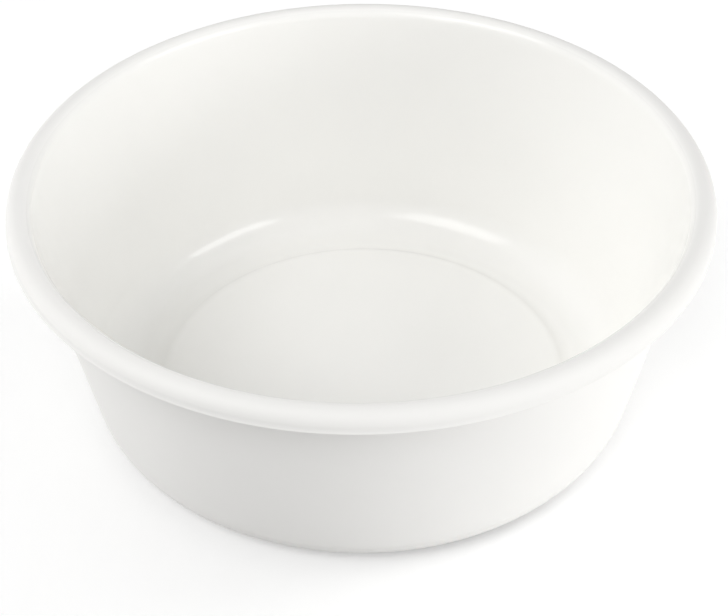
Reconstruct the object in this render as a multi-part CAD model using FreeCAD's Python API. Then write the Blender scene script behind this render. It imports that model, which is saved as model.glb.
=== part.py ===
import FreeCAD, Part
import math
import os

# Round washing up bowl: one plastic moulding, as five zones that meet face to face.
# Millimetres. The Z axis is the bowl's own axis, and Z = 0 is the surface that it stands on.

# Overall sizes
bowl_diameter = 350.0  # across the lip of the rim
bowl_height = 130.0  # from the surface it stands on to the top of the rim

# Wall
wall_thickness = 2.0
wall_draft = 11.35  # degrees that the wall leans outwards from upright

# Rim
rim_drop = 10.0  # from the top of the rim to the edge of its lip
rim_crown_width = 0.4  # level top between the two roundings
rim_inner_round = 6.0  # rounding of the rim's top towards the inside
rim_outer_round = 6.8  # rounding of the rim's top towards the lip

# Base
heel_round = 23.0  # outside radius of the turn from wall to base
stand_ring_width = 5.2  # flat ring that the bowl stands on
floor_rise = 2.5  # height of the floor above the flat ring
floor_step_run = 12.0  # width of the soft step between the two
floor_edge_round = 12.0  # rounding at the floor's edge, where the step begins

draft = math.radians(wall_draft)
lip_radius = bowl_diameter / 2
lip_edge_height = bowl_height - rim_drop

# Centres of the rim's two roundings, as (radius, height).
outer_round_centre = (lip_radius - rim_outer_round, bowl_height - rim_outer_round)
inner_round_centre = (outer_round_centre[0] - rim_crown_width, bowl_height - rim_inner_round)


# A wall face is the line r * cos(draft) - z * sin(draft) = offset, seen in a half section.
def wall_offset(radius, height):
    return radius * math.cos(draft) - height * math.sin(draft)


def wall_radius(offset, height):
    return (offset + height * math.sin(draft)) / math.cos(draft)


# The wall's inner face runs up into the rim's inner rounding.
inner_offset = wall_offset(*inner_round_centre) - rim_inner_round
outer_offset = inner_offset + wall_thickness

# The turn from wall to base touches the wall's outer face and the standing surface.
heel_centre_radius = wall_radius(outer_offset - heel_round, heel_round)
heel_joint_height = heel_round
heel_inner_round = heel_round - wall_thickness

ring_inner_radius = heel_centre_radius - stand_ring_width
floor_radius = ring_inner_radius - floor_step_run


def point(radius, height):
    return FreeCAD.Vector(radius, 0, height)


def line(start, end):
    return Part.LineSegment(point(*start), point(*end)).toShape()


def on_circle(centre, radius, angle):
    return (centre[0] + radius * math.cos(angle), centre[1] + radius * math.sin(angle))


def arc(centre, radius, start_angle, end_angle):
    middle_angle = (start_angle + end_angle) / 2
    angles = (start_angle, middle_angle, end_angle)
    return Part.Arc(*[point(*on_circle(centre, radius, angle)) for angle in angles]).toShape()


def turned(edges):
    section = Part.Face(Part.Wire(edges))
    return section.revolve(FreeCAD.Vector(0, 0, 0), FreeCAD.Vector(0, 0, 1), 360)


# Rim: the top of the wall rolls outwards over a narrow crown and turns down into a lip.
def make_rim():
    under_inner_round = rim_inner_round - wall_thickness
    under_outer_round = rim_outer_round - wall_thickness
    under_crown_height = bowl_height - wall_thickness
    upright = math.pi / 2
    wall_side = math.pi - draft
    wall_foot_inside = (wall_radius(inner_offset, lip_edge_height), lip_edge_height)
    wall_foot_outside = (wall_radius(outer_offset, lip_edge_height), lip_edge_height)
    lip_edge_outside = (lip_radius, lip_edge_height)
    lip_edge_inside = (lip_radius - wall_thickness, lip_edge_height)
    return turned([
        line(wall_foot_inside, on_circle(inner_round_centre, rim_inner_round, wall_side)),
        arc(inner_round_centre, rim_inner_round, wall_side, upright),
        line((inner_round_centre[0], bowl_height), (outer_round_centre[0], bowl_height)),
        arc(outer_round_centre, rim_outer_round, upright, 0),
        line((lip_radius, outer_round_centre[1]), lip_edge_outside),
        line(lip_edge_outside, lip_edge_inside),
        line(lip_edge_inside, (lip_edge_inside[0], outer_round_centre[1])),
        arc(outer_round_centre, under_outer_round, 0, upright),
        line((outer_round_centre[0], under_crown_height), (inner_round_centre[0], under_crown_height)),
        arc(inner_round_centre, under_inner_round, upright, wall_side),
        line(on_circle(inner_round_centre, under_inner_round, wall_side), wall_foot_outside),
        line(wall_foot_outside, wall_foot_inside),
    ])


# Side wall: a plain drafted shell between the rim and the heel.
def make_side_wall():
    top_inside = (wall_radius(inner_offset, lip_edge_height), lip_edge_height)
    top_outside = (wall_radius(outer_offset, lip_edge_height), lip_edge_height)
    foot_inside = (wall_radius(inner_offset, heel_joint_height), heel_joint_height)
    foot_outside = (wall_radius(outer_offset, heel_joint_height), heel_joint_height)
    return turned([
        line(foot_inside, top_inside),
        line(top_inside, top_outside),
        line(top_outside, foot_outside),
        line(foot_outside, foot_inside),
    ])


# Heel: the wall's even thickness carried round the turn, down to the flat ring.
def make_heel():
    centre = (heel_centre_radius, heel_round)
    downwards = -math.pi / 2
    wall_side = -draft
    top_inside = (wall_radius(inner_offset, heel_joint_height), heel_joint_height)
    top_outside = (wall_radius(outer_offset, heel_joint_height), heel_joint_height)
    return turned([
        line(top_inside, top_outside),
        line(top_outside, on_circle(centre, heel_round, wall_side)),
        arc(centre, heel_round, wall_side, downwards),
        line((heel_centre_radius, 0), (heel_centre_radius, wall_thickness)),
        arc(centre, heel_inner_round, downwards, wall_side),
        line(on_circle(centre, heel_inner_round, wall_side), top_inside),
    ])


# Stand ring: the flat ring that touches the surface below.
def make_stand_ring():
    return turned([
        line((ring_inner_radius, 0), (heel_centre_radius, 0)),
        line((heel_centre_radius, 0), (heel_centre_radius, wall_thickness)),
        line((heel_centre_radius, wall_thickness), (ring_inner_radius, wall_thickness)),
        line((ring_inner_radius, wall_thickness), (ring_inner_radius, 0)),
    ])


# The step beside the floor is two arcs, level at both ends: one above and a wider one below.
def floor_step(low_height):
    swing = 2 * math.atan(floor_rise / floor_step_run)
    step_foot_round = floor_step_run / math.sin(swing) - floor_edge_round
    upper_centre = (floor_radius, low_height + floor_rise - floor_edge_round)
    lower_centre = (ring_inner_radius, low_height + step_foot_round)
    upper_arc = arc(upper_centre, floor_edge_round, math.pi / 2, math.pi / 2 - swing)
    lower_arc = arc(lower_centre, step_foot_round, -math.pi / 2 - swing, -math.pi / 2)
    return [upper_arc, lower_arc]


# Floor: a flat plate raised a little above the ring, hollow by as much underneath.
def make_floor():
    top_height = floor_rise + wall_thickness
    upper_step = floor_step(wall_thickness)
    lower_step = floor_step(0)
    return turned([
        line((0, floor_rise), (0, top_height)),
        line((0, top_height), (floor_radius, top_height)),
        *upper_step,
        line((ring_inner_radius, wall_thickness), (ring_inner_radius, 0)),
        *reversed(lower_step),
        line((floor_radius, floor_rise), (0, floor_rise)),
    ])


zones = {
    "rim": make_rim(),
    "side_wall": make_side_wall(),
    "heel": make_heel(),
    "stand_ring": make_stand_ring(),
    "floor": make_floor(),
}

os.makedirs("parts", exist_ok=True)
for name, shape in zones.items():
    print(name, "valid", shape.isValid(), "volume %.0f mm3" % shape.Volume)
    shape.exportStep("parts/" + name + ".step")
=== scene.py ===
import math

import bpy
from mathutils import Euler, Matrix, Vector


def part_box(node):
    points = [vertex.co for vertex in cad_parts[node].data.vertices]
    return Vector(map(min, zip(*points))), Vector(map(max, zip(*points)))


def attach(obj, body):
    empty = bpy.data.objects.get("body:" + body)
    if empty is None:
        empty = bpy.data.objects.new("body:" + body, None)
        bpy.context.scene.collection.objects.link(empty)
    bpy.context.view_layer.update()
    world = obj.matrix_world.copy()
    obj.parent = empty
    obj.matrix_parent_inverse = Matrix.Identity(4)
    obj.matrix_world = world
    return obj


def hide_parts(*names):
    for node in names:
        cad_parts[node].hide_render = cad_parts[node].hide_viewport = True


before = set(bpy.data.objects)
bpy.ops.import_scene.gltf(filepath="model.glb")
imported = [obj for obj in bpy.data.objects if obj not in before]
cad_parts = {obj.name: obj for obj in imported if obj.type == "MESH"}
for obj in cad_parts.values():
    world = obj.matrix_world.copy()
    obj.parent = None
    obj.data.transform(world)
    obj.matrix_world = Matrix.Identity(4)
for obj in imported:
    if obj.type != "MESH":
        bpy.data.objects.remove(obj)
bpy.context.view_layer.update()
print("frame loaded:", sorted(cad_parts))


# bowl: one turned section, all sizes in metres
bowlLook = {
    "rimInnerRound": 0.006,
    "rimOuterRound": 0.0068,
    "seamHeight": 0.0010,  # mould seam along the lip, from its edge up
    "seamStand": 0.0002,  # how far the seam stands out from the lip
    "seamTaper": 3,  # its upper corner stands back by one part in this many
    "lipEdgeRound": 0.0005,
    "floorStepRun": 0.012,
    "floorEdgeRound": 0.012,
    "gateWell": 0.007,  # shallow well under the floor, where the plastic came in
    "gateStub": 0.0018,  # radius of the cut stub in the well
    "stubTaper": 0.8,
    "gateDepth": 0.0004,
    "roundSteps": 14,  # points on a tight arc
    "heelSteps": 24,  # points on the turn from wall to base
    "wallSteps": 20,
    "flatSteps": 5,
    "turnSteps": 240,
    "joinReach": 1e-6,  # points nearer than this are one
    "sharpAngle": 40,  # degrees, from which an edge is shaded sharp
}


def onCircle(centre, radius, degrees):
    angle = math.radians(degrees)
    return (centre[0] + radius * math.cos(angle), centre[1] + radius * math.sin(angle))


def arcPoints(centre, radius, startDegrees, endDegrees, steps):
    turn = (endDegrees - startDegrees) / steps
    return [onCircle(centre, radius, startDegrees + turn * i) for i in range(steps + 1)]


def linePoints(start, end, steps):
    return [
        (start[0] + (end[0] - start[0]) * i / steps, start[1] + (end[1] - start[1]) * i / steps)
        for i in range(steps + 1)
    ]


# soft step from the raised floor down to the flat ring: one arc above and one below, level at both ends
def stepPoints(floorEdge, ringEdge, low, rise, edgeRound, steps):
    run = ringEdge - floorEdge
    swing = 2 * math.atan(rise / run)
    footRound = run / math.sin(swing) - edgeRound
    turn = math.degrees(swing)
    upper = arcPoints((floorEdge, low + rise - edgeRound), edgeRound, 90, 90 - turn, steps)
    lower = arcPoints((ringEdge, low + footRound), footRound, -90 - turn, -90, steps)
    return upper + lower


# half section of the moulding, as (radius, height): from the middle out over the inside, then back underneath
def bowlSection(look):
    rimLow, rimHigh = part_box("rim")
    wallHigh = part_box("side_wall")[1]
    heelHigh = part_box("heel")[1]
    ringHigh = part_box("stand_ring")[1]
    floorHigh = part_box("floor")[1]
    lipRadius, rimTop, lipEdge = rimHigh.x, rimHigh.z, rimLow.z
    thick = ringHigh.z
    ringOuter, heelRound = ringHigh.x, heelHigh.z
    ringInner, floorTop = floorHigh.x, floorHigh.z
    floorEdge = ringInner - look["floorStepRun"]
    rise = floorTop - thick
    draft = math.degrees(math.atan2(wallHigh.x - heelHigh.x, lipEdge - heelRound))
    innerRound, outerRound, edgeRound = look["rimInnerRound"], look["rimOuterRound"], look["lipEdgeRound"]
    tight, flat = look["roundSteps"], look["flatSteps"]

    heelCentre = (ringOuter, heelRound)
    lipFace = lipRadius - look["seamStand"]
    outerCentre = (lipFace - outerRound, rimTop - outerRound)
    wallTop = wallHigh.x - thick / math.cos(math.radians(draft))  # inner face, level with the lip's edge
    innerHeight = rimTop - innerRound
    innerRadius = wallTop + (innerHeight - lipEdge) * math.tan(math.radians(draft))
    innerCentre = (innerRadius + innerRound / math.cos(math.radians(draft)), innerHeight)
    lipInside = lipFace - thick
    seamTop = lipEdge + look["seamHeight"]
    seamCorner = lipRadius - look["seamStand"] / look["seamTaper"]
    wellTop = rise + look["gateDepth"]
    wellWall = look["gateWell"] - look["gateDepth"]
    stub = look["gateStub"]
    stubLow = rise - look["gateDepth"] / 2

    floorInside = linePoints((0, floorTop), (floorEdge, floorTop), flat)
    stepInside = stepPoints(floorEdge, ringInner, thick, rise, look["floorEdgeRound"], tight)
    heelInside = arcPoints(heelCentre, heelRound - thick, -90, -draft, look["heelSteps"])
    rimInside = arcPoints(innerCentre, innerRound, 180 - draft, 90, tight)
    wallInside = linePoints(heelInside[-1], rimInside[0], look["wallSteps"])
    rimOutside = arcPoints(outerCentre, outerRound, 90, 0, tight)
    seam = [(lipFace, seamTop + look["seamStand"]), (seamCorner, seamTop)]
    lipOuterEdge = arcPoints((lipRadius - edgeRound, lipEdge + edgeRound), edgeRound, 0, -90, flat)
    lipInnerEdge = arcPoints((lipInside + edgeRound, lipEdge + edgeRound), edgeRound, -90, -180, flat)
    underOutside = arcPoints(outerCentre, outerRound - thick, 0, 90, tight)
    underInside = arcPoints(innerCentre, innerRound - thick, 90, 180 - draft, tight)
    heelOutside = arcPoints(heelCentre, heelRound, -draft, -90, look["heelSteps"])
    wallOutside = linePoints(underInside[-1], heelOutside[0], look["wallSteps"])
    stepUnder = stepPoints(floorEdge, ringInner, 0, rise, look["floorEdgeRound"], tight)[::-1]
    floorUnder = linePoints((floorEdge, rise), (look["gateWell"], rise), flat)
    well = [(wellWall, wellTop), (stub + look["gateDepth"], wellTop)]
    stubEnd = [(stub, rise), (stub * look["stubTaper"], stubLow), (0, stubLow)]

    section = []
    for stretch in (
        floorInside, stepInside, heelInside, wallInside, rimInside,
        rimOutside, seam, lipOuterEdge, lipInnerEdge,
        underOutside, underInside, wallOutside, heelOutside, stepUnder, floorUnder,
        well, stubEnd,
    ):
        for spot in stretch:
            if not section or math.dist(section[-1], spot) > look["joinReach"]:
                section.append(spot)
    return section


def startEdit(name):
    bpy.ops.object.select_all(action="DESELECT")
    bpy.ops.mesh.primitive_plane_add()
    piece = bpy.context.object
    piece.name = name
    piece.data.name = name
    bpy.ops.object.mode_set(mode="EDIT")
    return piece


def turnSection(piece, section, look):
    bpy.ops.mesh.merge(type="CENTER")  # the plane becomes the section's first point
    radius, height = section[0]
    bpy.ops.transform.translate(value=(radius, 0, height))
    for (r0, z0), (r1, z1) in zip(section, section[1:]):
        bpy.ops.mesh.extrude_region_move(TRANSFORM_OT_translate={"value": (r1 - r0, 0, z1 - z0)})
    bpy.ops.mesh.select_all(action="SELECT")
    bpy.ops.mesh.spin(steps=look["turnSteps"], angle=2 * math.pi, center=(0, 0, 0), axis=(0, 0, 1))
    bpy.ops.mesh.select_all(action="SELECT")
    bpy.ops.mesh.remove_doubles(threshold=look["joinReach"])
    bpy.ops.mesh.normals_make_consistent(inside=False)
    bpy.ops.object.mode_set(mode="OBJECT")
    bpy.ops.object.shade_smooth_by_angle(angle=math.radians(look["sharpAngle"]))
    return piece


bowl = turnSection(startEdit("bowl_moulding"), bowlSection(bowlLook), bowlLook)
print("bowl turned:", len(bowl.data.polygons), "faces")


# polish and shade: the inside came off a polished core, the rim's top and the outside off a satin mould; the
# same split also paints the outside and the rim's top darker and the inside lighter, as painted shade and
# painted light on one white plastic
polishAndShadeLook = {"satinTurn": -0.2, "glossTurn": 0.9}  # how far the rim's top turns inwards


def markPolishAndShade(piece, look):
    polish_and_shade = piece.data.attributes.new("polish_and_shade", "FLOAT", "POINT")
    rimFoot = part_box("rim")[0].z
    span = look["glossTurn"] - look["satinTurn"]
    for vertex in piece.data.vertices:
        outward = Vector((vertex.co.x, vertex.co.y, 0)).normalized()
        inwardTurn = -vertex.normal.dot(outward)
        if vertex.co.z > rimFoot:
            level = (inwardTurn - look["satinTurn"]) / span
        else:
            level = 1 if vertex.normal.z + inwardTurn > 0 else 0
        polish_and_shade.data[vertex.index].value = min(max(level, 0), 1)


markPolishAndShade(bowl, polishAndShadeLook)
print("polish marked")


plasticLook = {
    # the two colours are one white plastic: the inside is painted lighter as painted light, and the outside
    # and the rim's top are painted darker as painted shade
    "insidePaintedLightColour": (0.960, 0.955, 0.931, 1),
    "outsidePaintedShadeColour": (0.880, 0.873, 0.853, 1),
    "cloudScale": 16,  # slow drift of the pigment
    "cloudDetail": 4,
    "cloudShade": 0.03,
    "satinRoughness": 0.55,
    "glossRoughness": 0.13,
    "mirrorLevel": 0.38,  # how strongly the lamps mirror in the plastic
    "rubScale": 70,  # patches where the gloss is duller
    "rubDetail": 6,
    "rubRoughness": 0.04,
    "grainScale": 1500,  # fine mould grain
    "grainDetail": 2,
    "grainDepth": 0.000008,
}


def newNode(nodes, kind, settings):
    node = nodes.new(kind)
    for socket, value in settings.items():
        node.inputs[socket].default_value = value
    return node


def satinWhitePlastic(look):
    material = bpy.data.materials.new("satin_white_plastic")
    material.use_nodes = True
    nodes, links = material.node_tree.nodes, material.node_tree.links
    shader = nodes["Principled BSDF"]
    shader.inputs["Specular IOR Level"].default_value = look["mirrorLevel"]
    place = nodes.new("ShaderNodeTexCoord")

    polish_and_shade = nodes.new("ShaderNodeAttribute")
    polish_and_shade.attribute_name = "polish_and_shade"

    # this mix lays painted shade on the outside and the rim's top and painted light on the inside, split by
    # the polish mask
    pigmentAndPaintedShade = nodes.new("ShaderNodeMix")
    pigmentAndPaintedShade.data_type = "RGBA"
    pigmentAndPaintedShade.inputs["A"].default_value = look["outsidePaintedShadeColour"]
    pigmentAndPaintedShade.inputs["B"].default_value = look["insidePaintedLightColour"]
    clouds = newNode(nodes, "ShaderNodeTexNoise", {
        "Scale": look["cloudScale"],
        "Detail": look["cloudDetail"],
    })
    shade = newNode(nodes, "ShaderNodeMapRange", {"To Min": 1 - look["cloudShade"], "To Max": 1})
    tint = nodes.new("ShaderNodeVectorMath")
    tint.operation = "SCALE"
    links.new(polish_and_shade.outputs["Fac"], pigmentAndPaintedShade.inputs["Factor"])
    links.new(place.outputs["Object"], clouds.inputs["Vector"])
    links.new(clouds.outputs["Fac"], shade.inputs["Value"])
    links.new(pigmentAndPaintedShade.outputs["Result"], tint.inputs["Vector"])
    links.new(shade.outputs["Result"], tint.inputs["Scale"])
    links.new(tint.outputs["Vector"], shader.inputs["Base Color"])

    finish = newNode(nodes, "ShaderNodeMapRange", {
        "To Min": look["satinRoughness"],
        "To Max": look["glossRoughness"],
    })
    rubs = newNode(nodes, "ShaderNodeTexNoise", {
        "Scale": look["rubScale"],
        "Detail": look["rubDetail"],
    })
    dulling = newNode(nodes, "ShaderNodeMath", {1: look["rubRoughness"]})
    dulling.operation = "MULTIPLY"
    roughness = nodes.new("ShaderNodeMath")
    roughness.operation = "ADD"
    links.new(polish_and_shade.outputs["Fac"], finish.inputs["Value"])
    links.new(place.outputs["Object"], rubs.inputs["Vector"])
    links.new(rubs.outputs["Fac"], dulling.inputs[0])
    links.new(finish.outputs["Result"], roughness.inputs[0])
    links.new(dulling.outputs["Value"], roughness.inputs[1])
    links.new(roughness.outputs["Value"], shader.inputs["Roughness"])

    grain = newNode(nodes, "ShaderNodeTexNoise", {
        "Scale": look["grainScale"],
        "Detail": look["grainDetail"],
    })
    relief = newNode(nodes, "ShaderNodeBump", {"Strength": 1, "Distance": look["grainDepth"]})
    links.new(place.outputs["Object"], grain.inputs["Vector"])
    links.new(grain.outputs["Fac"], relief.inputs["Height"])
    links.new(relief.outputs["Normal"], shader.inputs["Normal"])
    return material


bowl.data.materials.append(satinWhitePlastic(plasticLook))
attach(bowl, "root")
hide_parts("rim", "side_wall", "heel", "stand_ring", "floor")
print("plastic on")


# 1 for a ray that looks at the background, straight or by reflection, and 0 for one that lights the bowl
def backgroundRay(nodes, links):
    path = nodes.new("ShaderNodeLightPath")
    seen = path.outputs["Is Camera Ray"]
    for name in ("Is Glossy Ray", "Is Transmission Ray"):
        either = nodes.new("ShaderNodeMath")
        either.operation = "MAXIMUM"
        links.new(seen, either.inputs[0])
        links.new(path.outputs[name], either.inputs[1])
        seen = either.outputs["Value"]
    return seen


floorLook = {
    "size": 8.0,
    "tint": (0.88, 0.88, 0.88, 1),
    "lift": 0.26,  # glow near the bowl, for rays that look at the paper
    "nearReach": 0.6,  # from here out the paper fades to plain white
    "farReach": 1.6,
}


def studioFloor(look):
    bpy.ops.object.select_all(action="DESELECT")
    bpy.ops.mesh.primitive_plane_add(size=look["size"])
    floor = bpy.context.object
    floor.name = "studio_floor"
    material = bpy.data.materials.new("floor_paper")
    material.use_nodes = True
    nodes, links = material.node_tree.nodes, material.node_tree.links
    nodes.clear()
    output = nodes.new("ShaderNodeOutputMaterial")
    matte = newNode(nodes, "ShaderNodeBsdfDiffuse", {"Color": look["tint"]})
    glow = nodes.new("ShaderNodeEmission")
    place = nodes.new("ShaderNodeTexCoord")
    away = nodes.new("ShaderNodeVectorMath")
    away.operation = "LENGTH"
    level = newNode(nodes, "ShaderNodeMapRange", {
        "From Min": look["nearReach"],
        "From Max": look["farReach"],
        "To Min": look["lift"],
        "To Max": 1,
    })
    lift = nodes.new("ShaderNodeMath")
    lift.operation = "MULTIPLY"
    both = nodes.new("ShaderNodeAddShader")
    links.new(place.outputs["Object"], away.inputs[0])
    links.new(away.outputs["Value"], level.inputs["Value"])
    links.new(backgroundRay(nodes, links), lift.inputs[0])
    links.new(level.outputs["Result"], lift.inputs[1])
    links.new(lift.outputs["Value"], glow.inputs["Strength"])
    links.new(matte.outputs["BSDF"], both.inputs[0])
    links.new(glow.outputs["Emission"], both.inputs[1])
    links.new(both.outputs["Shader"], output.inputs["Surface"])
    floor.data.materials.append(material)
    return floor


paper = studioFloor(floorLook)
print("floor laid")


# softboxes, placed round the bowl: degrees from the front towards the right, and above the floor
lampReach = 3.0
lampTarget = Vector((0, 0, 0.06))
bowlLamps = [
    {"name": "left_softbox", "around": 310, "above": 50, "wide": 2.0, "tall": 1.5, "power": 36.5},
    {"name": "side_softbox", "around": 258, "above": 35, "wide": 2.4, "tall": 2.2, "power": 30.0},
    {"name": "left_low_strip", "around": 262, "above": 8, "wide": 1.7, "tall": 0.7, "power": 7.4},
    {"name": "right_strip", "around": 63, "above": 35, "wide": 1.95, "tall": 0.8, "power": 23.0},
    {"name": "right_panel", "around": 70, "above": 20, "wide": 1.5, "tall": 0.8, "power": 9.1},
    {"name": "right_low_strip", "around": 70, "above": 7, "wide": 1.5, "tall": 0.7, "power": 27.0},
]
mirroredLamps = ["left_softbox", "right_strip"]  # the two that show in the gloss
paperLamps = [
    {"name": "paper_side", "around": 107, "above": 39, "wide": 2.0, "tall": 1.4, "power": 27.6},
    {"name": "paper_top", "around": 180, "above": 85, "wide": 3.0, "tall": 3.0, "power": 26.6},
    {"name": "paper_front", "around": 330, "above": 50, "wide": 2.0, "tall": 1.4, "power": 34.3},
]


def softbox(look, lit):
    lamp = bpy.data.lights.new(look["name"], "AREA")
    lamp.shape = "RECTANGLE"
    lamp.size = look["wide"]
    lamp.size_y = look["tall"]
    lamp.energy = look["power"]
    around, above = math.radians(look["around"]), math.radians(look["above"])
    flat = Vector((math.sin(around), -math.cos(around), 0)) * math.cos(above)
    holder = bpy.data.objects.new(look["name"], lamp)
    holder.location = lampTarget + (flat + Vector((0, 0, math.sin(above)))) * lampReach
    holder.rotation_euler = (lampTarget - holder.location).to_track_quat("-Z", "Y").to_euler()
    holder.visible_glossy = look["name"] in mirroredLamps
    holder.light_linking.receiver_collection = lit
    bpy.context.scene.collection.objects.link(holder)


# the bowl and the paper under it each have their own lamps, so that the shadow lies where the photo has it
def hangLamps(looks, thing):
    lit = bpy.data.collections.new("lit_" + thing.name)
    lit.objects.link(thing)
    for look in looks:
        softbox(look, lit)
    print("lamps hung for", thing.name, len(looks))


hangLamps(bowlLamps, bowl)
hangLamps(paperLamps, paper)


worldLook = {"strength": 0.264}


def studioWorld(look):
    world = bpy.data.worlds.new("studio")
    world.use_nodes = True
    nodes, links = world.node_tree.nodes, world.node_tree.links
    nodes.clear()
    output = nodes.new("ShaderNodeOutputWorld")
    background = newNode(nodes, "ShaderNodeBackground", {"Color": (1, 1, 1, 1)})
    level = newNode(nodes, "ShaderNodeMapRange", {"To Min": look["strength"], "To Max": 1})
    links.new(backgroundRay(nodes, links), level.inputs["Value"])
    links.new(level.outputs["Result"], background.inputs["Strength"])
    links.new(background.outputs["Background"], output.inputs["Surface"])
    bpy.context.scene.world = world


studioWorld(worldLook)


cameraLook = {
    "lens": 92.755,
    "sensorWidth": 36,
    "distance": 0.9793,
    "elevation": 39.261,
    "roll": -0.598,
    "aim": (0.0009, 0, 0.04707),
}


def photoCamera(look):
    camera = bpy.data.cameras.new("photo_camera")
    camera.lens = look["lens"]
    camera.sensor_width = look["sensorWidth"]
    holder = bpy.data.objects.new("photo_camera", camera)
    tilt = math.radians(look["elevation"])
    back = Vector((0, -math.cos(tilt), math.sin(tilt)))
    holder.location = Vector(look["aim"]) + back * look["distance"]
    turn = (-back).to_track_quat("-Z", "Y") @ Euler((0, 0, math.radians(look["roll"]))).to_quaternion()
    holder.rotation_euler = turn.to_euler()
    bpy.context.scene.collection.objects.link(holder)
    bpy.context.scene.camera = holder


photoCamera(cameraLook)
bpy.context.scene.view_settings.view_transform = "Standard"
print("camera set")
